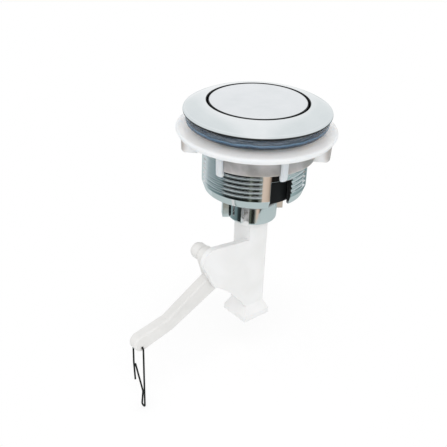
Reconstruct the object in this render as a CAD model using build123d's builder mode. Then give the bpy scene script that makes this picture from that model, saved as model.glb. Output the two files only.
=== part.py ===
"""Push button cistern actuator: chrome lid button with a threaded barrel, lock nut, lever bracket and lever.

z = 0 is the underside of the seal, where the unit rests on the cistern lid. The lever lies along -X.
"""

import os
from math import asin, cos, degrees, radians, sin, sqrt

from build123d import *

os.makedirs("parts", exist_ok=True)

# Button and bezel
button_radius = 23.3
button_gap = 0.7
button_crown = 0.5
button_thickness = 2.0
button_skirt = 6.0
button_wall = 1.6
button_travel = 11.0
stop_gap = 0.2
bezel_width = 11.0
bezel_rim = 2.2
bezel_rise = 3.3
bezel_lip = 0.35
bezel_slope = 0.1

# Seal under the bezel
seal_height = 5.0
seal_clearance = 0.9
seal_width = 5.2
seal_bead = 1.4
seal_bead_height = 1.6
seal_waist = 0.4
seal_waist_height = 3.2
seal_flare = 0.5
seal_flare_height = 4.0

# Threaded barrel
barrel_wall = 1.4
thread_depth = 0.9
thread_pitch = 2.3
thread_crest = 0.5
thread_base = 1.6
thread_top = 1.0
thread_free_angle = 45.0
thread_free_direction = -42.5
barrel_bottom = -33.5
lead_in_height = 4.0
lead_in_taper = 1.4
stop_ledge = 1.6
slot_width = 11.0
slot_direction = -101.5
slot_land = 1.2
slot_margin_angle = 9.0
slot_margin_depth = 0.05
vent_radius = 0.8
vent_direction = 152.5

# Floor of the button well, with the guide tube for the plunger
floor_top = -16.0
floor_thickness = 2.4
guide_height = 8.0
guide_wall = 2.5

# Boss under the floor, with two lugs and a snap tongue
boss_radius = 12.2
boss_bottom = -49.4
boss_round = 1.0
boss_wall = 2.2
boss_seat_height = 12.3
boss_seat_thickness = 2.0
boss_upper_wall = 2.8
lug_width = 5.0
lug_radius = 14.9
lug_direction = 147.5
lug_bottom = -49.4
rear_lug_bottom = -45.0
tongue_width = 4.0
tongue_height = 9.2
tongue_window = 3.6
tongue_foot = 3.0
tongue_direction = -166.5
tongue_slit = 1.2
tongue_opening = 3.8
tongue_catch = 0.8
tongue_catch_height = 1.6
tongue_catch_level = 1.8

# Lock nut
nut_gap = 2.1
nut_flange_width = 11.6
nut_flange = 2.8
nut_edge_round = 1.1
nut_edge_draft = 0.9
nut_height = 12.8
nut_clearance = 0.3
nut_wall = 2.1
nut_rib_count = 6
nut_rib_direction = 15.0
nut_rib_width = 3.4
nut_rib_reach = 2.3
nut_wing_reach = 7.7
nut_rib_draft = 0.7
nut_rib_chamfer = 1.6
nut_rib_drop = 3.2
nut_rib_inset = 0.7
nut_wing_first = 2

# Plunger and spring
stem_radius = 3.2
stem_clearance = 0.3
stem_socket_wall = 2.4
stem_socket_gap = 0.05
barb_radius = 4.9
barb_height = 3.6
barb_land = 0.7
barb_gap = 0.05
barb_clearance = 0.3
barb_slit = 1.2
barb_slit_height = 10.8
contact_gap = 0.2
spring_radius = 8.6
spring_wire = 0.6
spring_turns = 6
spring_clearance = 0.3
spring_seat_height = 1.0
spring_seat_wall = 1.0

# Lever bracket
head_clearance = 0.1
head_pocket_radius = 5.8
column_width = 11.8
column_wall = 1.7
neck_radius = 8.4
neck_height = 3.0
foot_length = 16.4
foot_width = 17.0
foot_thickness = 2.9
foot_flare = 5.0
foot_top = -105.5
cheek_radius = 6.5
cheek_shoulder = -60.2
cheek_toe = (-25.2, -78.4)
cheek_toe_radius = 2.4
cheek_heel = -101.0
cheek_hollow = 1.6

# Lever and pivot
pivot_x = -28.0
pivot_z = -64.0
pin_radius = 2.0
pin_head_radius = 3.6
pin_head = 1.2
pin_depth = 2.0
pin_fit = 0.02
pin_running_fit = 0.06
lever_width = 5.6
lever_side_gap = 0.3
lever_edge_round = 1.0
sleeve_radius = 4.2
sleeve_length = 4.2
hub_radius = 4.6
pad_radius = 2.3
pad_x = 1.5
pad_z = -67.5
lever_turn = 22.1
arm_root = (-23.0, -77.6)
arm_root_radius = 5.2
arm_bend = (-51.8, -93.5)
arm_bend_radius = 3.8
arm_tip = (-68.2, -97.6)
arm_tip_radius = 4.3

# Chain clip
clip_eye = (-68.6, -99.6)
clip_wire = 0.45
clip_eye_clearance = 0.15
clip_side_gap = 0.5
clip_back_gap = 1.9
clip_length = 36.8
clip_loop_width = 2.6
clip_loop_height = 9.3
clip_leg_gap = 0.5
clip_bend_radius = 1.0
clip_hook_drop = 14.0
clip_hook_gap = 0.5
clip_barb = 10.4
clip_barb_throw = 1.0

# How far a cut runs past the face that it opens
cut_margin = 1.0

# Derived sizes
rim_underside = seal_height
bore_radius = button_radius + button_gap
rim_round = bezel_rim / 2
bezel_top = rim_underside + bezel_rim + bezel_rise
bezel_radius = bore_radius + bezel_width
skirt_bore = bore_radius - stop_ledge
thread_root = bore_radius + barrel_wall
thread_radius = thread_root + thread_depth
lead_in_radius = thread_root - lead_in_taper
seal_inner_radius = thread_radius + seal_clearance
seal_foot_radius = seal_inner_radius + seal_width
button_top = bezel_top
button_underside = button_top - button_thickness
skirt_bottom = button_top - button_skirt
ledge_z = skirt_bottom - button_travel - stop_gap
floor_bottom = floor_top - floor_thickness
stem_bore = stem_radius + stem_clearance
boss_bore = boss_radius - boss_wall
seat_z = boss_bottom + boss_seat_height
boss_upper_bore = boss_radius - boss_upper_wall
thread_bottom = barrel_bottom + lead_in_height
nut_top = -nut_gap
nut_bore = thread_radius + nut_clearance
nut_radius = nut_bore + nut_flange_width
hub_outer = nut_bore + nut_wall
nut_rib_radius = hub_outer + nut_rib_reach
nut_wing_radius = hub_outer + nut_wing_reach
stem_end = pad_z + sqrt((pad_radius + stem_radius) ** 2 - pad_x**2) - stem_radius + contact_gap
lever_half = lever_width / 2
half_column = column_width / 2
cheek_inner = -lever_half - lever_side_gap
cheek_outer = -half_column
sleeve_end = lever_half + sleeve_length

# Body: bezel, barrel, floor and boss, turned about the axis
with BuildPart() as body:
    with BuildSketch(Plane.XZ) as section:
        with BuildLine() as outline:
            bore_edge = (bore_radius, bezel_top - bezel_lip)
            lip_edge = (bore_radius + bezel_lip, bezel_top)
            rim_shoulder = (bezel_radius - rim_round, rim_underside + bezel_rim)
            rim_nose = (bezel_radius, rim_underside + rim_round)
            rim_foot = (bezel_radius - rim_round, rim_underside)
            boss_side = (boss_radius, boss_bottom + boss_round)
            boss_end = (boss_radius - boss_round, boss_bottom)
            Line(bore_edge, lip_edge)
            TangentArc(lip_edge, rim_shoulder, tangent=(1, -bezel_slope))
            ThreePointArc(rim_shoulder, rim_nose, rim_foot)
            Polyline(
                rim_foot,
                (thread_root, rim_underside),
                (thread_root, thread_bottom),
                (lead_in_radius, barrel_bottom),
                (skirt_bore, barrel_bottom),
                (skirt_bore, floor_bottom),
                (boss_radius, floor_bottom),
                boss_side,
            )
            RadiusArc(boss_side, boss_end, boss_round)
            Polyline(
                boss_end,
                (boss_bore, boss_bottom),
                (boss_bore, seat_z),
                (barb_radius + barb_clearance, seat_z),
                (barb_radius + barb_clearance, seat_z + boss_seat_thickness),
                (boss_upper_bore, seat_z + boss_seat_thickness),
                (boss_upper_bore, floor_bottom),
                (stem_bore, floor_bottom),
                (stem_bore, floor_top + guide_height),
                (stem_bore + guide_wall, floor_top + guide_height),
                (stem_bore + guide_wall, floor_top),
                (skirt_bore, floor_top),
                (skirt_bore, ledge_z),
                (bore_radius, ledge_z),
                bore_edge,
            )
        make_face()
    revolve(axis=Axis.Z)

# One land of the coarse thread: the thread is left out on two opposite strips
land_angle = 180 - thread_free_angle
land_rise = thread_pitch * land_angle / 360
land_tilt = degrees(asin(land_rise / (2 * thread_root * sin(radians(land_angle / 2)))))
thread_turns = int((thread_top - thread_bottom) / thread_pitch)
with BuildPart() as thread_land:
    with BuildSketch(Plane.XZ):
        with Locations((thread_root, 0)):
            Polygon(
                (-thread_depth / 2, -thread_base / 2),
                (thread_depth, -thread_crest / 2),
                (thread_depth, thread_crest / 2),
                (-thread_depth / 2, thread_base / 2),
                align=None,
            )
    revolve(axis=Axis.Z, revolution_arc=land_angle)
land = thread_land.part.rotate(Axis.Z, -land_angle / 2).rotate(Axis.X, land_tilt)

# Strip beside the slot where the thread is left out
with BuildPart() as slot_strip:
    strip_root = thread_root - slot_margin_depth
    strip_edge = thread_radius + cut_margin
    strip_angle = degrees(asin(slot_width / 2 / thread_root)) + slot_margin_angle
    with BuildSketch(Plane.XZ):
        Polygon(
            (strip_root, -cut_margin),
            (strip_edge, -cut_margin),
            (strip_edge, thread_bottom),
            (strip_root, thread_bottom),
            align=None,
        )
    revolve(axis=Axis.Z, revolution_arc=-strip_angle)

with body:
    for turn in range(thread_turns):
        for side in (0, 1):
            level = thread_bottom + thread_pitch * (turn + 0.5 + side / 2)
            add(land.rotate(Axis.Z, thread_free_direction + 90 + 180 * side).moved(Location((0, 0, level))))
    # Smooth strip beside the slot, then the slot and the vent in the barrel's skirt
    add(slot_strip.part.rotate(Axis.Z, slot_direction), mode=Mode.SUBTRACT)
    with BuildPart(Rotation(0, 0, slot_direction), mode=Mode.SUBTRACT):
        slot_height = floor_bottom - barrel_bottom
        with Locations((thread_radius, 0, barrel_bottom)):
            Box(
                2 * (thread_radius - lug_radius - cut_margin),
                slot_width,
                2 * (slot_height - slot_land),
            )
    vent_level = barrel_bottom + lead_in_height / 2
    vent_length = 2 * (thread_radius - skirt_bore)
    with Locations(Rotation(0, 0, vent_direction) * Location((skirt_bore, 0, vent_level))):
        Cylinder(vent_radius, vent_length, rotation=(0, 90, 0), mode=Mode.SUBTRACT)
    # Lugs on the boss, the long one at the front
    for direction, bottom in ((lug_direction, lug_bottom), (lug_direction + 180, rear_lug_bottom)):
        with Locations(Rotation(0, 0, direction) * Location((boss_radius - boss_wall / 2, 0, bottom))):
            Box(
                lug_radius - boss_radius + boss_wall / 2,
                lug_width,
                floor_bottom - bottom,
                align=(Align.MIN, Align.CENTER, Align.MIN),
            )
    # Snap tongue with a catch inside, freed by a slit, a wide opening and a window above it
    tongue_top = boss_bottom + tongue_height
    window_width = tongue_width + 2 * tongue_slit
    for width, offset, bottom, top in (
        (tongue_slit, (tongue_width + tongue_slit) / 2, boss_bottom + tongue_foot, tongue_top),
        (tongue_opening, -(tongue_width + tongue_opening) / 2, boss_bottom - cut_margin, tongue_top),
        (window_width, 0, tongue_top, tongue_top + tongue_window),
    ):
        with Locations(
            Rotation(0, 0, tongue_direction) * Location((boss_upper_bore - cut_margin, -offset, bottom))
        ):
            Box(
                boss_upper_wall + 3 * cut_margin,
                width,
                top - bottom,
                align=(Align.MIN, Align.CENTER, Align.MIN),
                mode=Mode.SUBTRACT,
            )
    with Locations(
        Rotation(0, 0, tongue_direction)
        * Location((boss_bore - tongue_catch, 0, boss_bottom + tongue_catch_level))
    ):
        Box(
            tongue_catch + boss_wall / 2,
            tongue_width,
            tongue_catch_height,
            align=(Align.MIN, Align.CENTER, Align.MIN),
        )
body.part.label = "body"

# Button cap with its skirt, the plunger socket and the spring's locating ring
with BuildPart() as button_cap:
    with BuildSketch(Plane.XZ) as cap_section:
        with BuildLine() as cap_outline:
            cap_shoulder = (button_radius - bezel_lip, button_top)
            crown_top = (0, button_top + button_crown)
            socket_radius = stem_radius + stem_socket_wall
            spring_seat = spring_radius + spring_wire + spring_clearance
            Line((0, button_underside), crown_top)
            TangentArc(crown_top, cap_shoulder, tangent=(1, 0))
            Line(cap_shoulder, (button_radius, button_top - bezel_lip))
            Polyline(
                (button_radius, button_top - bezel_lip),
                (button_radius, skirt_bottom),
                (button_radius - button_wall, skirt_bottom),
                (button_radius - button_wall, button_underside),
                (spring_seat + spring_seat_wall, button_underside),
                (spring_seat + spring_seat_wall, button_underside - spring_seat_height),
                (spring_seat, button_underside - spring_seat_height),
                (spring_seat, button_underside),
                (socket_radius, button_underside),
                (socket_radius, skirt_bottom),
                (stem_radius + stem_socket_gap, skirt_bottom),
                (stem_radius + stem_socket_gap, button_underside),
                (0, button_underside),
            )
        make_face()
    revolve(axis=Axis.Z)
button_cap.part.label = "button_cap"

# Plunger: stem with a round end, and two barbs that catch under the floor
with BuildPart() as plunger:
    with BuildSketch(Plane.XZ) as stem_section:
        with BuildLine() as stem_outline:
            barb_top = floor_bottom - barb_gap
            Polyline(
                (0, stem_end),
                (0, button_underside),
                (stem_radius, button_underside),
                (stem_radius, barb_top),
                (barb_radius, barb_top),
                (barb_radius, barb_top - barb_land),
                (stem_radius, barb_top - barb_height),
                (stem_radius, stem_end + stem_radius),
            )
            RadiusArc((stem_radius, stem_end + stem_radius), (0, stem_end), stem_radius)
        make_face()
    revolve(axis=Axis.Z)
    with Locations((0, 0, barb_top - barb_height / 2)):
        Box(barb_slit, 3 * barb_radius, barb_slit_height, mode=Mode.SUBTRACT)
plunger.part.label = "plunger"

# Return spring with closed end coils
with BuildPart() as return_spring:
    coil_bottom = floor_top + spring_wire
    coil_top = button_underside - spring_wire
    coil_height = coil_top - coil_bottom
    with BuildLine() as coil_path:
        Helix(coil_height / spring_turns, coil_height, spring_radius, center=(0, 0, coil_bottom))
    with BuildSketch(Plane.XZ) as coil_wire:
        with Locations((spring_radius, coil_bottom)):
            Circle(spring_wire)
    sweep(path=coil_path.line, is_frenet=True)
    for level in (coil_bottom, coil_top):
        with Locations((0, 0, level)):
            Torus(spring_radius, spring_wire)
return_spring.part.label = "return_spring"

# Seal ring with a round bead and a waist
with BuildPart() as seal_ring:
    with BuildSketch(Plane.XZ) as seal_section:
        with BuildLine() as seal_outline:
            seal_foot = (seal_foot_radius, 0)
            seal_bulge = (seal_foot_radius + seal_bead, seal_bead_height)
            seal_neck = (seal_foot_radius - seal_waist, seal_waist_height)
            Line((seal_inner_radius, 0), seal_foot)
            ThreePointArc(seal_foot, seal_bulge, seal_neck)
            Polyline(
                seal_neck,
                (seal_foot_radius + seal_flare, seal_flare_height),
                (seal_foot_radius + seal_flare, seal_height),
                (seal_inner_radius, seal_height),
                (seal_inner_radius, 0),
            )
        make_face()
    revolve(axis=Axis.Z)
seal_ring.part.label = "seal_ring"

# Lock nut with its flange, a hub that is open in two sectors, two wide wings and four narrow ribs
with BuildPart() as lock_nut:
    flange_bottom = nut_top - nut_flange
    nut_bottom = nut_top - nut_height
    with BuildSketch(Plane.XZ) as nut_section:
        with BuildLine() as nut_outline:
            edge_top = (nut_radius - nut_edge_round, nut_top)
            edge_side = (nut_radius, nut_top - nut_edge_round)
            Line((nut_bore, nut_top), edge_top)
            RadiusArc(edge_top, edge_side, nut_edge_round)
            Polyline(
                edge_side,
                (nut_radius - nut_edge_draft, flange_bottom),
                (hub_outer, flange_bottom),
                (hub_outer, nut_bottom),
                (nut_bore, nut_bottom),
                (nut_bore, nut_top),
            )
        make_face()
    revolve(axis=Axis.Z)
    sector = 360 / nut_rib_count
    with BuildPart(mode=Mode.PRIVATE) as hub_gap:
        with BuildSketch(Plane.XZ):
            Polygon(
                (nut_bore - cut_margin, flange_bottom),
                (hub_outer + cut_margin, flange_bottom),
                (hub_outer + cut_margin, nut_bottom - cut_margin),
                (nut_bore - cut_margin, nut_bottom - cut_margin),
                align=None,
            )
        revolve(axis=Axis.Z, revolution_arc=sector)
    for side in (0, 180):
        gap_start = nut_rib_direction + nut_wing_first * sector + side
        add(hub_gap.part.rotate(Axis.Z, gap_start), mode=Mode.SUBTRACT)
    rib_bottom = nut_bottom - nut_rib_drop
    rib_root = nut_bore + nut_rib_inset
    wing_step = nut_rib_count // 2
    for i in range(nut_rib_count):
        reach = nut_wing_radius if i % wing_step == nut_wing_first else nut_rib_radius
        with BuildSketch(Plane.XZ) as rib_section:
            Polygon(
                (rib_root, flange_bottom + nut_flange / 2),
                (reach, flange_bottom + nut_flange / 2),
                (reach - nut_rib_draft, rib_bottom + nut_rib_chamfer),
                (reach - nut_rib_chamfer, rib_bottom),
                (rib_root, rib_bottom),
                align=None,
            )
        rib = extrude(amount=nut_rib_width / 2, both=True, mode=Mode.PRIVATE)
        add(rib.rotate(Axis.Z, nut_rib_direction + i * sector))
lock_nut.part.label = "lock_nut"

# Lever bracket: snap head, square column with a flared foot, and one cheek for the lever
with BuildPart() as lever_bracket:
    head_radius = boss_bore - head_clearance
    cavity = column_width - 2 * column_wall
    foot_bottom = foot_top - foot_thickness
    neck_bottom = boss_bottom - neck_height
    with BuildSketch(Plane.XZ) as head_section:
        groove_bottom = boss_bottom + tongue_catch_level - head_clearance
        groove_top = groove_bottom + tongue_catch_height + 2 * head_clearance
        groove_radius = head_radius - tongue_catch - head_clearance
        Polygon(
            (0, seat_z),
            (head_radius, seat_z),
            (head_radius, groove_top),
            (groove_radius, groove_top),
            (groove_radius, groove_bottom),
            (head_radius, groove_bottom),
            (head_radius, boss_bottom),
            (neck_radius, boss_bottom),
            (neck_radius, neck_bottom),
            (0, neck_bottom),
            align=None,
        )
    revolve(axis=Axis.Z)
    with BuildSketch(Plane.XY.offset(neck_bottom)):
        Rectangle(column_width, column_width)
    extrude(amount=foot_top + foot_flare - neck_bottom)
    with BuildSketch(Plane.XY.offset(foot_top + foot_flare)):
        Rectangle(column_width, column_width)
    with BuildSketch(Plane.XY.offset(foot_top)):
        Rectangle(foot_length, foot_width)
    loft()
    with Locations((0, 0, foot_bottom)):
        Box(foot_length, foot_width, foot_thickness, align=(Align.CENTER, Align.CENTER, Align.MIN))
    # Pockets in the head, behind the tongue's window and its wide opening
    for width, offset, bottom in (
        (window_width, 0, groove_top + head_clearance),
        (tongue_opening, -(tongue_width + tongue_opening) / 2, boss_bottom),
    ):
        with Locations(Rotation(0, 0, tongue_direction) * Location((head_pocket_radius, -offset, bottom))):
            Box(
                boss_radius - head_pocket_radius,
                width,
                tongue_top - bottom,
                align=(Align.MIN, Align.CENTER, Align.MIN),
                mode=Mode.SUBTRACT,
            )
    # Cheek: round about the pivot, then down to its toe and in a hollow curve to the column's heel
    with BuildSketch(Plane.XZ.offset(-cheek_inner)) as cheek_face:
        with BuildSketch():
            with Locations((pivot_x, pivot_z)):
                Circle(cheek_radius)
            with Locations(cheek_toe):
                Circle(cheek_toe_radius)
            with Locations((-half_column + column_wall / 2, cheek_shoulder)):
                Rectangle(column_wall, cheek_radius, align=(Align.CENTER, Align.MAX))
            make_hull()
        with BuildSketch():
            with BuildLine():
                Line((-half_column, pivot_z), (-half_column, cheek_heel))
                toe_bottom = (cheek_toe[0], cheek_toe[1] - cheek_toe_radius)
                SagittaArc((-half_column, cheek_heel), toe_bottom, -cheek_hollow)
                Line(toe_bottom, (-half_column, pivot_z))
            make_face()
    extrude(amount=cheek_inner - cheek_outer)
    with Locations((pivot_x, cheek_inner, pivot_z)):
        Cylinder(pin_radius + pin_fit, 2 * pin_depth, rotation=(90, 0, 0), mode=Mode.SUBTRACT)
    # Guide bore, cavity and the window for the lever's short arm
    with Locations((0, 0, neck_bottom - cut_margin)):
        Cylinder(
            stem_bore,
            seat_z - neck_bottom + 2 * cut_margin,
            align=(Align.CENTER, Align.CENTER, Align.MIN),
            mode=Mode.SUBTRACT,
        )
    with Locations((0, 0, foot_bottom)):
        Box(
            cavity,
            cavity,
            neck_bottom - foot_bottom,
            align=(Align.CENTER, Align.CENTER, Align.MIN),
            mode=Mode.SUBTRACT,
        )
    window_top = pad_z + pad_radius + lever_side_gap
    pad_drop = (pad_x - pivot_x) * sin(radians(lever_turn))
    window_bottom = pad_z - pad_drop - arm_root_radius
    with Locations((0, 0, window_bottom)):
        Box(
            half_column + cut_margin,
            2 * lever_half + 2 * lever_side_gap,
            window_top - window_bottom,
            align=(Align.MAX, Align.CENTER, Align.MIN),
            mode=Mode.SUBTRACT,
        )
lever_bracket.part.label = "lever_bracket"

# Lever: bent bar with a round pad at one end and an eye at the other, and an ear with a sleeve on the pin
with BuildPart() as lever:
    with BuildSketch(Plane.XZ.offset(-lever_half)) as lever_face:
        with BuildSketch():
            with Locations((pad_x, pad_z)):
                Circle(pad_radius)
            with Locations(arm_root):
                Circle(arm_root_radius)
            make_hull()
        with BuildSketch():
            with Locations((pivot_x, pivot_z)):
                Circle(hub_radius)
            with Locations(arm_root):
                Circle(arm_root_radius)
            make_hull()
        with BuildSketch():
            with Locations(arm_root):
                Circle(arm_root_radius)
            with Locations(arm_bend):
                Circle(arm_bend_radius)
            make_hull()
        with BuildSketch():
            with Locations(arm_bend):
                Circle(arm_bend_radius)
            with Locations(arm_tip):
                Circle(arm_tip_radius)
            make_hull()
    extrude(amount=lever_width)
    fillet(lever.faces().filter_by(Axis.Y).edges(), radius=lever_edge_round)
    with Locations((pivot_x, lever_half, pivot_z)):
        Cylinder(
            sleeve_radius,
            sleeve_length,
            rotation=(-90, 0, 0),
            align=(Align.CENTER, Align.CENTER, Align.MIN),
        )
    with Locations((pivot_x, 0, pivot_z)):
        Cylinder(pin_radius + pin_running_fit, 4 * sleeve_end, rotation=(90, 0, 0), mode=Mode.SUBTRACT)
    with Locations((clip_eye[0], 0, clip_eye[1])):
        Cylinder(clip_wire + clip_eye_clearance, 2 * lever_width, rotation=(90, 0, 0), mode=Mode.SUBTRACT)
lever.part.label = "lever"

# Pivot pin, pressed into the cheek, with its head behind the sleeve
with BuildPart() as pivot_pin:
    pin_start = cheek_inner - pin_depth
    pin_length = sleeve_end + lever_side_gap - pin_start
    with Locations((pivot_x, pin_start, pivot_z)):
        Cylinder(
            pin_radius,
            pin_length,
            rotation=(-90, 0, 0),
            align=(Align.CENTER, Align.CENTER, Align.MIN),
        )
    with Locations((pivot_x, pin_start + pin_length, pivot_z)):
        Cylinder(
            pin_head_radius,
            pin_head,
            rotation=(-90, 0, 0),
            align=(Align.CENTER, Align.CENTER, Align.MIN),
        )
pivot_pin.part.label = "pivot_pin"

# Chain clip: one wire bent through the lever's eye, with a chain loop at its foot and a barb by its hook
with BuildPart() as chain_clip:
    front_leg = -lever_half - clip_side_gap - clip_wire
    back_leg = lever_half + clip_back_gap + clip_wire
    hook = back_leg - 2 * clip_wire - clip_hook_gap
    loop_front = front_leg - clip_leg_gap / 2
    throat = loop_front + 2 * clip_wire + clip_leg_gap
    eye = Plane(origin=(clip_eye[0], 0, clip_eye[1]), x_dir=(0, 1, 0), z_dir=(1, 0, 0))
    with BuildLine(eye) as clip_path:
        FilletPolyline(
            (back_leg - clip_barb_throw, -clip_hook_drop - clip_barb),
            (back_leg, -clip_hook_drop),
            (back_leg, 0),
            (front_leg, 0),
            (loop_front, -clip_length),
            (loop_front + clip_loop_width, -clip_length),
            (throat, clip_loop_height - clip_length),
            (hook, -clip_hook_drop),
            radius=clip_bend_radius,
        )
    with BuildSketch(Plane(origin=clip_path.line @ 0, z_dir=clip_path.line % 0)):
        Circle(clip_wire)
    sweep(path=clip_path.line)
chain_clip.part.label = "chain_clip"

for built in (
    body,
    button_cap,
    plunger,
    return_spring,
    seal_ring,
    lock_nut,
    lever_bracket,
    lever,
    pivot_pin,
    chain_clip,
):
    export_step(built.part, "parts/" + built.part.label + ".step")
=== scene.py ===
"""Push button cistern actuator: a chrome lid button with its barrel, seal, lock nut, bracket and lever."""

from math import cos, pi, sin

import bmesh
import bpy
from mathutils import Matrix, Vector


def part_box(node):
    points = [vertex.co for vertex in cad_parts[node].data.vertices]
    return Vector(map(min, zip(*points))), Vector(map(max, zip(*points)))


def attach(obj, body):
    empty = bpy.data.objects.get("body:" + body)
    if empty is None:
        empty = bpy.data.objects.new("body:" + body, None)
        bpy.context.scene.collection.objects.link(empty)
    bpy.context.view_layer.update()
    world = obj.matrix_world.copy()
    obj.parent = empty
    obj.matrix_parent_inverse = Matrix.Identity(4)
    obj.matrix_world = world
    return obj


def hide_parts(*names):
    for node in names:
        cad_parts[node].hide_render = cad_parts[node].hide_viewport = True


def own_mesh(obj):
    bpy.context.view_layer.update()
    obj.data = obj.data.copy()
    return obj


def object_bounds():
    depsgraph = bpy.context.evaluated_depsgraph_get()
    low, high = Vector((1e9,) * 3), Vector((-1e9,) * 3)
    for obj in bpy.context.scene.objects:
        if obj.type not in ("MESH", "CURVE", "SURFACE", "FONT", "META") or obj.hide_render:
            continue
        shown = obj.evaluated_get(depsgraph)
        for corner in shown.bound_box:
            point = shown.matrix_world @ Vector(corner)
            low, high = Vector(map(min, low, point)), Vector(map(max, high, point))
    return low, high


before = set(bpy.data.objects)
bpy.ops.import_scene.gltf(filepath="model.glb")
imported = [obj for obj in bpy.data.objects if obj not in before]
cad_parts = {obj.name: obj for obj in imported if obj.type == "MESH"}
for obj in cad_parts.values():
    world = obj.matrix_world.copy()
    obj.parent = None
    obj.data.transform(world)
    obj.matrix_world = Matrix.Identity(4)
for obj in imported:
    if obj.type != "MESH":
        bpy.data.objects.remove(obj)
cad_box = [list(corner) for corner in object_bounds()]

# Body: one ABS moulding with the bezel, the threaded barrel and the boss.
# It is electroplated with bright chrome, which copies the moulding's faint waviness
# and has a soft haze where hands have touched it.


def colour(written):
    """A written sRGB colour as linear light."""
    steps = [int(written[i : i + 2], 16) / 255 for i in (1, 3, 5)]
    linear = [s / 12.92 if s <= 0.04045 else ((s + 0.055) / 1.055) ** 2.4 for s in steps]
    return (*linear, 1.0)


def per_metre(millimetres):
    """The pattern scale at which one feature is this many millimetres across."""
    return 1000 / millimetres


def node(tree, kind, settings, inputs, stops=()):
    """One node with its settings and inputs, and the stops of a colour ramp in rising order.

    Each input is given a value, or linked from another node's output.
    """
    made = tree.nodes.new(kind)
    for name, value in settings.items():
        setattr(made, name, value)
    for name, value in inputs.items():
        if isinstance(value, bpy.types.NodeSocket):
            tree.links.new(value, made.inputs[name])
        else:
            made.inputs[name].default_value = value
    if stops:
        first, *between, last = stops
        elements = made.color_ramp.elements
        for index, (position, shade) in enumerate((first, last)):
            elements[index].position = position
            elements[index].color = colour(shade)
        for position, shade in between:
            elements.new(position).color = colour(shade)
    return made


def blank_material(name):
    """A node material with no nodes yet, and its tree."""
    made = bpy.data.materials.new(name)
    made.use_nodes = True
    made.node_tree.nodes.clear()
    return made, made.node_tree


def dress(piece, material):
    """The piece wears this material alone."""
    piece.data.materials.clear()
    piece.data.materials.append(material)


def share_in(tree, place, zones):
    """How much of a spot lies in any of the zones.

    A zone is a set of limits on the reach from the barrel's axis or on the height: at each, the share is 0
    before the first number and 1 after the second.
    """
    flat = node(
        tree,
        "ShaderNodeVectorMath",
        {"operation": "MULTIPLY"},
        {0: place.outputs["Object"], 1: (1, 1, 0)},
    )
    reach = node(tree, "ShaderNodeVectorMath", {"operation": "LENGTH"}, {0: flat.outputs["Vector"]})
    axes = node(tree, "ShaderNodeSeparateXYZ", {}, {"Vector": place.outputs["Object"]})
    measures = {"reach": reach.outputs["Value"], "height": axes.outputs["Z"]}
    share = 0.0
    for zone in zones:
        inside = 1.0
        for measure, start, end in zone:
            limit = node(
                tree,
                "ShaderNodeMapRange",
                {"interpolation_type": "SMOOTHSTEP"},
                {
                    "Value": measures[measure],
                    "From Min": start,
                    "From Max": end,
                    "To Min": 0.0,
                    "To Max": 1.0,
                },
            )
            within = node(
                tree, "ShaderNodeMath", {"operation": "MULTIPLY"}, {0: inside, 1: limit.outputs["Result"]}
            )
            inside = within.outputs["Value"]
        either = node(tree, "ShaderNodeMath", {"operation": "MAXIMUM"}, {0: share, 1: inside})
        share = either.outputs["Value"]
    return share


def bright_chrome_plate(name, deposit, haze, painted_shade_zones):
    """Mirror-bright plating over the moulding's ripples, with haze in clouds.

    In the painted shade zones the colour turns to a dull black with little shine: painted shade where the
    plating lies in shadow.
    """
    ripple_mm = 6
    ripple_height = 0.00004
    haze_mm = 11
    edge_round = 0.0002
    # The painted shade zones turn to this dull black, rougher and with little shine: painted shade.
    painted_shade_black = "#17191A"
    painted_shade_roughness = 0.4
    painted_shade_shine = 0.15
    material, tree = blank_material(name)
    place = node(tree, "ShaderNodeTexCoord", {}, {})
    clouds = node(
        tree,
        "ShaderNodeTexNoise",
        {},
        {
            "Vector": place.outputs["Object"],
            "Scale": per_metre(haze_mm),
            "Detail": 4.0,
            "Roughness": 0.55,
        },
    )
    polish = node(
        tree,
        "ShaderNodeMapRange",
        {},
        {
            "Value": clouds.outputs["Fac"],
            "From Min": 0.35,
            "From Max": 0.7,
            "To Min": haze[0],
            "To Max": haze[1],
        },
    )
    tint = node(
        tree,
        "ShaderNodeValToRGB",
        {},
        {"Fac": clouds.outputs["Fac"]},
        stops=((0.3, deposit[0]), (0.7, deposit[1])),
    )
    painted_shade = share_in(tree, place, painted_shade_zones)
    surface = node(
        tree,
        "ShaderNodeMix",
        {"data_type": "RGBA"},
        {"Factor": painted_shade, 6: tint.outputs["Color"], 7: colour(painted_shade_black)},
    )
    outside_painted_shade = node(tree, "ShaderNodeMath", {"operation": "SUBTRACT"}, {0: 1.0, 1: painted_shade})
    dullness = node(tree, "ShaderNodeMath", {"operation": "MULTIPLY"}, {0: painted_shade, 1: painted_shade_roughness})
    gloss = node(
        tree,
        "ShaderNodeMath",
        {"operation": "MAXIMUM"},
        {0: polish.outputs["Result"], 1: dullness.outputs["Value"]},
    )
    ripple = node(
        tree,
        "ShaderNodeTexNoise",
        {},
        {"Vector": place.outputs["Object"], "Scale": per_metre(ripple_mm), "Detail": 1.0},
    )
    edge = node(tree, "ShaderNodeBevel", {"samples": 6}, {"Radius": edge_round})
    relief = node(
        tree,
        "ShaderNodeBump",
        {},
        {
            "Strength": 0.5,
            "Distance": ripple_height,
            "Height": ripple.outputs["Fac"],
            "Normal": edge.outputs["Normal"],
        },
    )
    shader = node(
        tree,
        "ShaderNodeBsdfPrincipled",
        {},
        {
            "Base Color": surface.outputs[2],
            "Metallic": outside_painted_shade.outputs["Value"],
            "Roughness": gloss.outputs["Value"],
            "Specular IOR Level": painted_shade_shine,
            "Normal": relief.outputs["Normal"],
        },
    )
    node(tree, "ShaderNodeOutputMaterial", {}, {"Surface": shader.outputs["BSDF"]})
    return material
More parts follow.
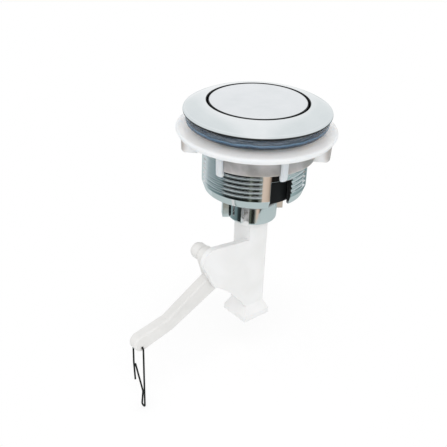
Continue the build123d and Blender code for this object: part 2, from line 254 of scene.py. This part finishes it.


# Painted shade: the bezel's lower edge, the button's well with its side of the gap, and the space between the
# skirt and the boss are painted dull black where they lie in shadow.
shade_under_bezel = (("reach", 0.0336, 0.0338), ("height", 0.0064, 0.0061))
shade_in_well = (("reach", 0.0245, 0.02435), ("height", -0.0175, -0.0165))
shade_in_skirt = (("reach", 0.0226, 0.0225), ("height", -0.041, -0.0385))
body_chrome = bright_chrome_plate(
    "bright chrome plate on ABS",
    ("#E3E7E9", "#E9ECEE"),
    (0.05, 0.1),
    (shade_under_bezel, shade_in_well, shade_in_skirt),
)
dress(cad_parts["body"], body_chrome)

# Inner tube: it hangs from the floor of the button well, inside the barrel, behind the slot, as a dark backing
# for it. It wears the body's material and lies wholly in its painted shade zone, so it is painted black and
# the slot looks black: painted shade.
tube_radius = 0.0214
tube_wall = 0.0014
tube_top = -0.0183
tube_bottom = -0.0328
tube_sides = 96
crease_angle = 0.6


def piece_from(shape, name):
    """The finished bmesh as a piece of the scene."""
    data = bpy.data.meshes.new(name)
    shape.to_mesh(data)
    shape.free()
    made = bpy.data.objects.new(name, data)
    bpy.context.scene.collection.objects.link(made)
    return made


tube_mesh = bmesh.new()
tube_rim = bmesh.ops.create_circle(tube_mesh, cap_ends=False, segments=tube_sides, radius=tube_radius)["verts"]
bmesh.ops.translate(tube_mesh, verts=tube_rim, vec=(0, 0, tube_top))
tube_side = bmesh.ops.extrude_edge_only(tube_mesh, edges=tube_mesh.edges)["geom"]
tube_foot = [part for part in tube_side if isinstance(part, bmesh.types.BMVert)]
bmesh.ops.translate(tube_mesh, verts=tube_foot, vec=(0, 0, tube_bottom - tube_top))
bmesh.ops.recalc_face_normals(tube_mesh, faces=tube_mesh.faces)
bmesh.ops.solidify(tube_mesh, geom=tube_mesh.faces, thickness=tube_wall)
for face in tube_mesh.faces:
    upright = abs(face.normal.z) < 0.5
    face.smooth = upright
slot_shade_tube = piece_from(tube_mesh, "slot_shade_tube")
slot_shade_tube.data.set_sharp_from_angle(angle=crease_angle)
dress(slot_shade_tube, body_chrome)
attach(slot_shade_tube, "base")

# Button cap: a thin-walled ABS disc with a skirt, plated like the bezel; its side in the gap is painted dull
# black as painted shade.
# It drops into the bore from above and slides in it, and its face is the part that is touched most.
shade_in_gap = (("reach", 0.0227, 0.0229),)
button_chrome = bright_chrome_plate(
    "bright chrome plate, handled", ("#DCE0E3", "#E3E6E9"), (0.08, 0.16), (shade_in_gap,)
)
dress(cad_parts["button_cap"], button_chrome)

# Plunger: a stem of white acetal, set in the socket under the button and caught below the floor by its barbs.
# Acetal comes out of a spark-eroded mould with an even, fine grain and a waxy gloss.


def moulded_white(name, shades, gloss, grain_depth, glow, shaded_zones=(), painted_shade_tones=(), shaded_zone_depth=0.0):
    """White moulded plastic with drifting flow marks, and a mould grain drawn coarse enough to show.

    Glow is the share of light that sinks in, and how deep. In the shaded zones it sinks to the shaded zone
    depth, and the colour turns to the painted shade tones: painted shade.
    """
    drift_mm = 18
    grain_mm = 0.5
    edge_round = 0.0004
    sink_share, sink_depth = glow
    material, tree = blank_material(name)
    place = node(tree, "ShaderNodeTexCoord", {}, {})
    drift = node(
        tree,
        "ShaderNodeTexNoise",
        {},
        {
            "Vector": place.outputs["Object"],
            "Scale": per_metre(drift_mm),
            "Detail": 3.0,
            "Distortion": 0.6,
        },
    )
    tint = node(
        tree,
        "ShaderNodeValToRGB",
        {},
        {"Fac": drift.outputs["Fac"]},
        stops=((0.32, shades[0]), (0.68, shades[1])),
    )
    shade = tint.outputs["Color"]
    # Painted shade: in the shaded zones the colour turns to the darker painted shade tones.
    if shaded_zones:
        painted_shade_tint = node(
            tree,
            "ShaderNodeValToRGB",
            {},
            {"Fac": drift.outputs["Fac"]},
            stops=((0.38, painted_shade_tones[0]), (0.62, painted_shade_tones[1])),
        )
        shaded_share = share_in(tree, place, shaded_zones)
        shaded = node(
            tree,
            "ShaderNodeMix",
            {"data_type": "RGBA"},
            {"Factor": shaded_share, 6: shade, 7: painted_shade_tint.outputs["Color"]},
        )
        shade = shaded.outputs[2]
        depth = node(
            tree, "ShaderNodeMapRange", {}, {"Value": shaded_share, "To Min": sink_depth, "To Max": shaded_zone_depth}
        )
        sink_depth = depth.outputs["Result"]
    grain = node(
        tree,
        "ShaderNodeTexNoise",
        {},
        {"Vector": place.outputs["Object"], "Scale": per_metre(grain_mm), "Detail": 2.0},
    )
    sheen = node(
        tree,
        "ShaderNodeMapRange",
        {},
        {
            "Value": grain.outputs["Fac"],
            "From Min": 0.3,
            "From Max": 0.7,
            "To Min": gloss[0],
            "To Max": gloss[1],
        },
    )
    edge = node(tree, "ShaderNodeBevel", {"samples": 6}, {"Radius": edge_round})
    relief = node(
        tree,
        "ShaderNodeBump",
        {},
        {
            "Strength": 0.4,
            "Distance": grain_depth,
            "Height": grain.outputs["Fac"],
            "Normal": edge.outputs["Normal"],
        },
    )
    shader = node(
        tree,
        "ShaderNodeBsdfPrincipled",
        {},
        {
            "Base Color": shade,
            "Roughness": sheen.outputs["Result"],
            "IOR": 1.48,
            "Subsurface Weight": sink_share,
            "Subsurface Radius": (1.0, 0.85, 0.75),
            "Subsurface Scale": sink_depth,
            "Normal": relief.outputs["Normal"],
        },
    )
    node(tree, "ShaderNodeOutputMaterial", {}, {"Surface": shader.outputs["BSDF"]})
    return material


acetal_grain = 0.00002
acetal = moulded_white("white acetal", ("#EAEAE9", "#F1F1F1"), (0.32, 0.44), acetal_grain, (0.1, 0.0015))
dress(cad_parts["plunger"], acetal)

# Return spring: spring steel wire coiled cold, with its end coils closed.
# It stands on the floor of the button well and lifts the button, so it shortens as the button goes down.
coil_radius = 0.0086
coil_wire = 0.0006
coil_sides = 10
coil_steps = 40
coil_weld = 1e-7
open_turns = 5
spring_low, spring_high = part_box("return_spring")

wire_mesh = bmesh.new()
section = bmesh.ops.create_circle(wire_mesh, cap_ends=False, segments=coil_sides, radius=coil_wire)["verts"]
stand_up = Matrix.Rotation(pi / 2, 3, "X")
bmesh.ops.rotate(wire_mesh, verts=section, cent=(0, 0, 0), matrix=stand_up)
bmesh.ops.translate(wire_mesh, verts=section, vec=(coil_radius, 0, spring_low.z + coil_wire))
start_edges = list(wire_mesh.edges)
bmesh.ops.contextual_create(wire_mesh, geom=start_edges)
end_rise = 2 * coil_wire
open_rise = spring_high.z - spring_low.z - 2 * coil_wire - 2 * end_rise
leading = section + start_edges
for turns, rise in ((1, end_rise), (open_turns, open_rise), (1, end_rise)):
    steps = coil_steps * turns
    coil = bmesh.ops.spin(
        wire_mesh,
        geom=leading,
        cent=(0, 0, 0),
        axis=(0, 0, 1),
        dvec=(0, 0, rise / steps),
        angle=2 * pi * turns,
        steps=steps,
        use_merge=False,
        use_duplicate=False,
    )
    leading = coil["geom_last"]
end_edges = [part for part in leading if isinstance(part, bmesh.types.BMEdge)]
bmesh.ops.contextual_create(wire_mesh, geom=end_edges)
bmesh.ops.remove_doubles(wire_mesh, verts=wire_mesh.verts, dist=coil_weld)
bmesh.ops.recalc_face_normals(wire_mesh, faces=wire_mesh.faces)
for face in wire_mesh.faces:
    along_the_wire = len(face.verts) == 4
    face.smooth = along_the_wire
coiled_spring = piece_from(wire_mesh, "coiled_spring")


def drawn_steel(name, shades, gloss):
    """Drawn steel wire: streaks from the die, drawn coarse enough to show, and specks of dull oxide."""
    streak_mm = 0.8
    streak_height = 0.00002
    material, tree = blank_material(name)
    place = node(tree, "ShaderNodeTexCoord", {}, {})
    streaks = node(
        tree,
        "ShaderNodeTexNoise",
        {},
        {
            "Vector": place.outputs["Object"],
            "Scale": per_metre(streak_mm),
            "Detail": 5.0,
            "Roughness": 0.65,
        },
    )
    tint = node(
        tree,
        "ShaderNodeValToRGB",
        {},
        {"Fac": streaks.outputs["Fac"]},
        stops=((0.35, shades[0]), (0.65, shades[1])),
    )
    polish = node(
        tree,
        "ShaderNodeMapRange",
        {},
        {
            "Value": streaks.outputs["Fac"],
            "From Min": 0.3,
            "From Max": 0.7,
            "To Min": gloss[0],
            "To Max": gloss[1],
        },
    )
    relief = node(
        tree,
        "ShaderNodeBump",
        {},
        {"Strength": 0.4, "Distance": streak_height, "Height": streaks.outputs["Fac"]},
    )
    shader = node(
        tree,
        "ShaderNodeBsdfPrincipled",
        {},
        {
            "Base Color": tint.outputs["Color"],
            "Metallic": 1.0,
            "Roughness": polish.outputs["Result"],
            "Normal": relief.outputs["Normal"],
        },
    )
    node(tree, "ShaderNodeOutputMaterial", {}, {"Surface": shader.outputs["BSDF"]})
    return material


spring_steel = drawn_steel("drawn spring steel", ("#8E9092", "#B4B6B8"), (0.2, 0.38))
dress(coiled_spring, spring_steel)
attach(coiled_spring, "base")
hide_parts("return_spring")
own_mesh(coiled_spring)

# Seal ring: clear soft PVC, moulded with a waist, clamped between the bezel and the cistern lid.
# It is tinted a smoky blue. Over the tint its colour is painted in rings by height, dark at the foot, lighter
# bands between and black under the bezel: painted highlights and painted shade. Its surface is glossy with a
# few soft dents.
dent_mm = 7
dent_depth = 0.0001
ring_start = -0.13
ring_wander = 0.3
seal_low, seal_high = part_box("seal_ring")
# Painted highlights and painted shade: the smoky tint changes by height in light and dark rings.
seal_tint_and_painted_light = (
    (0.00, "#17212D"),
    (0.24, "#1F2D3D"),
    (0.36, "#5B7A98"),
    (0.46, "#7394B0"),
    (0.54, "#3C5063"),
    (0.66, "#8C9DAF"),
    (0.76, "#A3B1BF"),
    (0.86, "#4A5661"),
    (0.94, "#0E1215"),
    (1.00, "#07090A"),
)
clear_pvc, tree = blank_material("clear soft PVC")
place = node(tree, "ShaderNodeTexCoord", {}, {})
dents = node(
    tree,
    "ShaderNodeTexNoise",
    {},
    {"Vector": place.outputs["Object"], "Scale": per_metre(dent_mm), "Detail": 3.0},
)
axes = node(tree, "ShaderNodeSeparateXYZ", {}, {"Vector": place.outputs["Object"]})
level = node(
    tree,
    "ShaderNodeMapRange",
    {},
    {
        "Value": axes.outputs["Z"],
        "From Min": seal_low.z,
        "From Max": seal_high.z,
        "To Min": ring_start,
        "To Max": ring_start + 1,
    },
)
wander = node(
    tree,
    "ShaderNodeMath",
    {"operation": "MULTIPLY_ADD"},
    {0: dents.outputs["Fac"], 1: ring_wander, 2: level.outputs["Result"]},
)
tint_and_painted_rings = node(tree, "ShaderNodeValToRGB", {}, {"Fac": wander.outputs["Value"]}, stops=seal_tint_and_painted_light)
soft_gloss = node(
    tree,
    "ShaderNodeMapRange",
    {},
    {"Value": dents.outputs["Fac"], "From Min": 0.3, "From Max": 0.7, "To Min": 0.04, "To Max": 0.12},
)
dent_relief = node(
    tree,
    "ShaderNodeBump",
    {},
    {"Strength": 0.3, "Distance": dent_depth, "Height": dents.outputs["Fac"]},
)
pvc_shader = node(
    tree,
    "ShaderNodeBsdfPrincipled",
    {},
    {
        "Base Color": tint_and_painted_rings.outputs["Color"],
        "Roughness": soft_gloss.outputs["Result"],
        "IOR": 1.53,
        "Alpha": 0.6,
        "Normal": dent_relief.outputs["Normal"],
    },
)
node(tree, "ShaderNodeOutputMaterial", {}, {"Surface": pvc_shader.outputs["BSDF"]})
dress(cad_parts["seal_ring"], clear_pvc)

# Lock nut: natural polypropylene, moulded with a wide flange, a thin hub, two wings and four finger ribs.
# It runs on the barrel's thread and clamps the lid against the seal. The hub and the outer ends of the wings
# under the flange are painted grey: painted shade.
# Painted shade: the hub and the outer ends of the wings are painted grey.
hub_shade = (("reach", 0.0289, 0.0288), ("height", -0.0049, -0.0064), ("height", -0.01505, -0.01495))
wing_end_shade = (("reach", 0.0305, 0.0365), ("height", -0.0050, -0.0062))
nut_grain = 0.00003
polypropylene = moulded_white(
    "white polypropylene",
    ("#E8EAEC", "#F0F1F3"),
    (0.26, 0.36),
    nut_grain,
    (1.0, 0.02),
    shaded_zones=(hub_shade, wing_end_shade),
    painted_shade_tones=("#989795", "#C4C2C3"),
    shaded_zone_depth=0.004,
)
# The ribs leave their deep pockets in the mould with round tips. Turns below 52 degrees are the facets
# of a curved face, and stay as they are.
rib_tips = -0.015
tip_round = 0.0011
facet_turn = 0.9
nut_weld = 1e-6
nut_mesh = bmesh.new()
nut_mesh.from_mesh(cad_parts["lock_nut"].data)
bmesh.ops.remove_doubles(nut_mesh, verts=nut_mesh.verts, dist=nut_weld)
tip_edges = [
    edge
    for edge in nut_mesh.edges
    if len(edge.link_faces) == 2
    and min(corner.co.z for corner in edge.verts) < rib_tips
    and edge.calc_face_angle() > facet_turn
]
bmesh.ops.bevel(
    nut_mesh,
    geom=tip_edges,
    offset=tip_round,
    offset_type="OFFSET",
    affect="EDGES",
    segments=4,
    profile=0.5,
    material=-1,
    clamp_overlap=False,
)
for face in nut_mesh.faces:
    face.smooth = True
moulded_nut = piece_from(nut_mesh, "moulded_nut")
if "custom_normal" in moulded_nut.data.attributes:
    moulded_nut.data.attributes.remove(moulded_nut.data.attributes["custom_normal"])
moulded_nut.data.set_sharp_from_angle(angle=crease_angle)
dress(moulded_nut, polypropylene)
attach(moulded_nut, "nut")
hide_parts("lock_nut")

# Lever bracket: one white acetal moulding with a snap head, a square column, a cheek and a flared foot.
# Its head is pushed up into the boss and held there by the snap tongue.
dress(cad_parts["lever_bracket"], acetal)

# Lever: a bent bar of white acetal with a round pad under the plunger and an eye for the chain clip.
# It turns on the pin behind the cheek, and is moulded a shade warmer and duller than the bracket.
lever_acetal = moulded_white(
    "white acetal, lever", ("#DFDEDC", "#E7E6E4"), (0.44, 0.56), acetal_grain, (0.02, 0.0015)
)
dress(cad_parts["lever"], lever_acetal)

# Pivot pin: a headed pin of the same white acetal as the lever.
# It is pressed into a blind hole in the cheek, and the lever's sleeve turns on it.
dress(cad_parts["pivot_pin"], lever_acetal)

# Chain clip: one length of spring wire, oxidised dark in its tempering, so it has a dull, uneven shine.
# It is bent through the lever's eye into a loop for the chain, with a barb that snaps over its other leg.
dark_wire = drawn_steel("dark oxidised spring wire", ("#242424", "#3C3B3A"), (0.3, 0.5))
dress(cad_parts["chain_clip"], dark_wire)

# Floor: a plain pale sheet of paper under the lowest point of the object, which keeps its shadow.
# It turns to the white of the room at its edge, and the plating mirrors it a little darker than it is.
# From below it doesn't show, so that it hides nothing.
floor_drop = 0.0005
floor_radius = 0.16
floor_sides = 96
lowest = cad_box[0][2] - floor_drop
floor_centre = (0.03, -0.03, lowest)
shadow_centre = (-0.017, 0, lowest)
shadow_reach = (0.045, 0.11)
white_paper = colour("#FFFFFF")
mirrored_paper = colour("#C2CECD")
floor_mesh = bmesh.new()
disc = bmesh.ops.create_circle(floor_mesh, cap_ends=True, segments=floor_sides, radius=floor_radius)["verts"]
bmesh.ops.translate(floor_mesh, verts=disc, vec=floor_centre)
floor = piece_from(floor_mesh, "floor")
pale_sheet, tree = blank_material("pale paper sheet")
light_path = node(tree, "ShaderNodeLightPath", {}, {})
sheet_shade = node(
    tree,
    "ShaderNodeMix",
    {"data_type": "RGBA"},
    {"Factor": light_path.outputs["Is Glossy Ray"], 6: white_paper, 7: mirrored_paper},
)
paper = node(tree, "ShaderNodeBsdfDiffuse", {}, {"Color": sheet_shade.outputs[2]})
glare = node(tree, "ShaderNodeEmission", {}, {"Color": white_paper, "Strength": 1.0})
seen = node(
    tree,
    "ShaderNodeMath",
    {"operation": "MAXIMUM"},
    {0: light_path.outputs["Is Camera Ray"], 1: light_path.outputs["Is Transmission Ray"]},
)
place = node(tree, "ShaderNodeTexCoord", {}, {})
under_object = node(
    tree,
    "ShaderNodeVectorMath",
    {"operation": "DISTANCE"},
    {0: place.outputs["Object"], 1: shadow_centre},
)
fade = node(
    tree,
    "ShaderNodeMapRange",
    {"interpolation_type": "SMOOTHSTEP"},
    {
        "Value": under_object.outputs["Value"],
        "From Min": shadow_reach[0],
        "From Max": shadow_reach[1],
        "To Min": 0.7,
        "To Max": 1.0,
    },
)
seen_share = node(
    tree,
    "ShaderNodeMath",
    {"operation": "MULTIPLY"},
    {0: seen.outputs["Value"], 1: fade.outputs["Result"]},
)
sheet_shader = node(
    tree,
    "ShaderNodeMixShader",
    {},
    {"Fac": seen_share.outputs["Value"], 1: paper.outputs["BSDF"], 2: glare.outputs["Emission"]},
)
sides_of_sheet = node(tree, "ShaderNodeNewGeometry", {}, {})
open_air = node(tree, "ShaderNodeBsdfTransparent", {}, {})
one_sided = node(
    tree,
    "ShaderNodeMixShader",
    {},
    {
        "Fac": sides_of_sheet.outputs["Backfacing"],
        1: sheet_shader.outputs["Shader"],
        2: open_air.outputs["BSDF"],
    },
)
node(tree, "ShaderNodeOutputMaterial", {}, {"Surface": one_sided.outputs["Shader"]})
dress(floor, pale_sheet)

# Studio: an even white room. The plating mirrors its walls above the table, which are whitest behind
# the object, and below the table's edge the darker floor of the room, with its bright and dark sides.
room_white = colour("#FFFFFF")
room_light = 0.88
table_edge_fall = (-0.3, -0.1)
across_view = (0.763, -0.647, 0)
sides = (
    (0.00, "#1A2020"),
    (0.04, "#181D1C"),
    (0.06, "#171B1A"),
    (0.105, "#20241F"),
    (0.12, "#6A7064"),
    (0.13, "#23271F"),
    (0.165, "#1B1E1B"),
    (0.18, "#8A8F86"),
    (0.20, "#E3CDBB"),
    (0.225, "#D2BBA8"),
    (0.24, "#15110E"),
    (0.30, "#1C1C1B"),
    (0.34, "#A9BDBD"),
    (0.55, "#7A8C8D"),
    (0.70, "#C4D0D1"),
    (0.785, "#D5DEDF"),
    (0.81, "#8C9FA1"),
    (0.88, "#74888A"),
    (0.925, "#6A7E80"),
    (0.95, "#2C3535"),
    (1.00, "#1A2020"),
)
walls = (
    (0.00, "#E9EDEE"),
    (0.36, "#F0F3F3"),
    (0.45, "#FFFFFF"),
    (0.55, "#FFFFFF"),
    (0.64, "#F0F3F3"),
    (1.00, "#E9EDEE"),
)
room = bpy.data.worlds.new("white studio")
room.use_nodes = True
tree = room.node_tree
tree.nodes.clear()
light_path = node(tree, "ShaderNodeLightPath", {}, {})
direction = node(tree, "ShaderNodeTexCoord", {}, {})
axes = node(tree, "ShaderNodeSeparateXYZ", {}, {"Vector": direction.outputs["Generated"]})
bearing = node(tree, "ShaderNodeMath", {"operation": "ARCTAN2"}, {0: axes.outputs["Y"], 1: axes.outputs["X"]})
turn = node(
    tree,
    "ShaderNodeMapRange",
    {},
    {"Value": bearing.outputs["Value"], "From Min": -pi, "From Max": pi, "To Min": 0.0, "To Max": 1.0},
)
below = node(tree, "ShaderNodeValToRGB", {}, {"Fac": turn.outputs["Result"]}, stops=sides)
table_edge = node(
    tree,
    "ShaderNodeMapRange",
    {"interpolation_type": "SMOOTHSTEP"},
    {
        "Value": axes.outputs["Z"],
        "From Min": table_edge_fall[0],
        "From Max": table_edge_fall[1],
        "To Min": 0.0,
        "To Max": 1.0,
    },
)
across = node(
    tree,
    "ShaderNodeVectorMath",
    {"operation": "DOT_PRODUCT"},
    {0: direction.outputs["Generated"], 1: across_view},
)
side = node(
    tree,
    "ShaderNodeMapRange",
    {},
    {"Value": across.outputs["Value"], "From Min": -1.0, "From Max": 1.0, "To Min": 0.0, "To Max": 1.0},
)
above = node(tree, "ShaderNodeValToRGB", {}, {"Fac": side.outputs["Result"]}, stops=walls)
mirrored_low = node(tree, "ShaderNodeBackground", {}, {"Color": below.outputs["Color"], "Strength": 1.0})
mirrored_high = node(tree, "ShaderNodeBackground", {}, {"Color": above.outputs["Color"], "Strength": 1.0})
backdrop = node(tree, "ShaderNodeBackground", {}, {"Color": room_white, "Strength": 1.0})
mirrored = node(
    tree,
    "ShaderNodeMixShader",
    {},
    {
        "Fac": table_edge.outputs["Result"],
        1: mirrored_low.outputs["Background"],
        2: mirrored_high.outputs["Background"],
    },
)
even = node(tree, "ShaderNodeBackground", {}, {"Color": room_white, "Strength": room_light})
lit = node(
    tree,
    "ShaderNodeMixShader",
    {},
    {
        "Fac": light_path.outputs["Is Glossy Ray"],
        1: even.outputs["Background"],
        2: mirrored.outputs["Shader"],
    },
)
seen = node(
    tree,
    "ShaderNodeMath",
    {"operation": "MAXIMUM"},
    {0: light_path.outputs["Is Camera Ray"], 1: light_path.outputs["Is Transmission Ray"]},
)
shown = node(
    tree,
    "ShaderNodeMixShader",
    {},
    {"Fac": seen.outputs["Value"], 1: lit.outputs["Shader"], 2: backdrop.outputs["Background"]},
)
node(tree, "ShaderNodeOutputWorld", {}, {"Surface": shown.outputs["Shader"]})
bpy.context.scene.world = room

# Each lamp is a soft disc with its width, power, place and what it is aimed at.
lamps = (
    ("soft lamp", 0.5, 0.95, (-0.30, -0.28, 0.38), (-0.02, 0, -0.05)),
    ("low fill", 0.4, 0.06, (-0.45, -0.25, -0.02), (-0.02, 0, -0.07)),
)
for name, width, power, stand, aim in lamps:
    lamp_data = bpy.data.lights.new(name, "AREA")
    lamp_data.shape = "DISK"
    lamp_data.size = width
    lamp_data.energy = power
    lamp = bpy.data.objects.new(name, lamp_data)
    bpy.context.scene.collection.objects.link(lamp)
    lamp.location = stand
    lamp.visible_glossy = False
    lamp.rotation_euler = (Vector(aim) - lamp.location).to_track_quat("-Z", "Y").to_euler()

# Camera: the photograph's own view, a little above the button and from the lever's side.
# Its place, turn, lift and roll come from fitting the bezel, the barrel and the bracket to the photograph.
eye_point = Vector((-0.22766, -0.24720, 0.13559))
eye_turn = -0.703
eye_lift = 0.5178
eye_roll = 0.0393
back = Vector((sin(eye_turn) * cos(eye_lift), -cos(eye_turn) * cos(eye_lift), sin(eye_lift)))
level_right = Vector((cos(eye_turn), sin(eye_turn), 0))
right = level_right * cos(eye_roll) + back.cross(level_right) * sin(eye_roll)
up = back.cross(right)
lens = bpy.data.cameras.new("photograph")
lens.sensor_width = 36
lens.lens = 61.65
lens.clip_start = 0.01
camera = bpy.data.objects.new("photograph", lens)
bpy.context.scene.collection.objects.link(camera)
camera.matrix_world = Matrix.Translation(eye_point) @ Matrix((right, up, back)).transposed().to_4x4()
bpy.context.scene.camera = camera
bpy.context.scene.view_settings.view_transform = "Standard"
